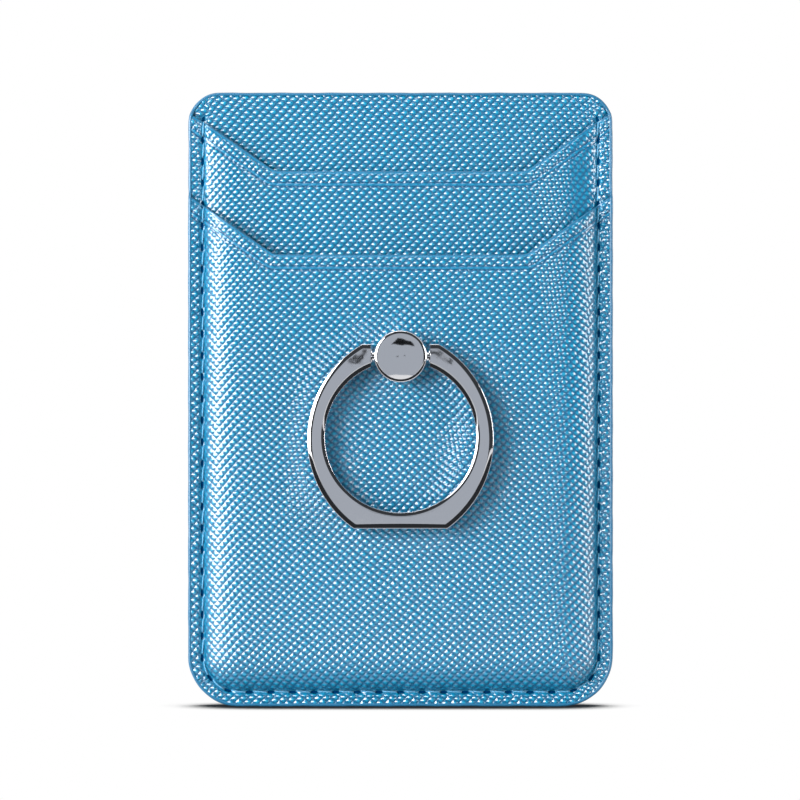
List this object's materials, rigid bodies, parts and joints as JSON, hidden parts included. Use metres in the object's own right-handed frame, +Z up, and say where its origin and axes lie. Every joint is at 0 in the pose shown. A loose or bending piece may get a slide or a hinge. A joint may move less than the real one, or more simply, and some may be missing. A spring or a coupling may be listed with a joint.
{
  "type": "phone card holder",
  "caption": "Blue textured leather card holder that sticks to the back of a phone, with pockets stitched one over another and a chrome finger ring that folds and swivels on a post.",
  "frame": {"origin": "centre of the adhesive pad's outer face, which is pressed on to the phone", "axes": "+Z up towards the pocket mouths, -Y out of the front, +X to the viewer's right"},
  "size_m": [0.065, 0.0111, 0.094],
  "materials": {
    "blue_leather": "cross-hatched, pearl",
    "blue_edge_paint": "satin",
    "blue_thread": "twisted",
    "slate_lining": "matt",
    "dark_foam": "matt",
    "grey_board": "matt",
    "adhesive_foam": "matt",
    "bright_steel": "plain",
    "polished_chrome": "polished"
  },
  "bodies": {
    "holder": {"adhesive_pad": "adhesive_foam", "back_leather": "blue_leather", "stiffener_board": "grey_board", "facing_leather": "blue_leather", "rear_pocket_leather": "blue_leather", "rear_mouth_edge_paint": "blue_edge_paint", "front_pocket_lining": "slate_lining", "front_pocket_foam": "dark_foam", "front_pocket_leather": "blue_leather", "front_mouth_edge_paint": "blue_edge_paint", "outer_edge_paint": "blue_edge_paint", "needle_thread": "blue_thread", "bobbin_thread": "blue_thread", "base_plate": "bright_steel", "friction_washer": "bright_steel"},
    "post": {"swivel_post": "polished_chrome"},
    "ring": {"finger_ring": "polished_chrome"}
  },
  "joints": [
    {"name": "post_swivel", "type": "hinge", "parent": "holder", "child": "post", "pos_m": [0, -0.0073, 0.00645], "axis": [0, -1, 0], "continuous": true},
    {"name": "ring_fold", "type": "hinge", "parent": "post", "child": "ring", "pos_m": [0, -0.00955, 0.00645], "axis": [-1, 0, 0], "range_deg": [0, 180]}
  ]
}
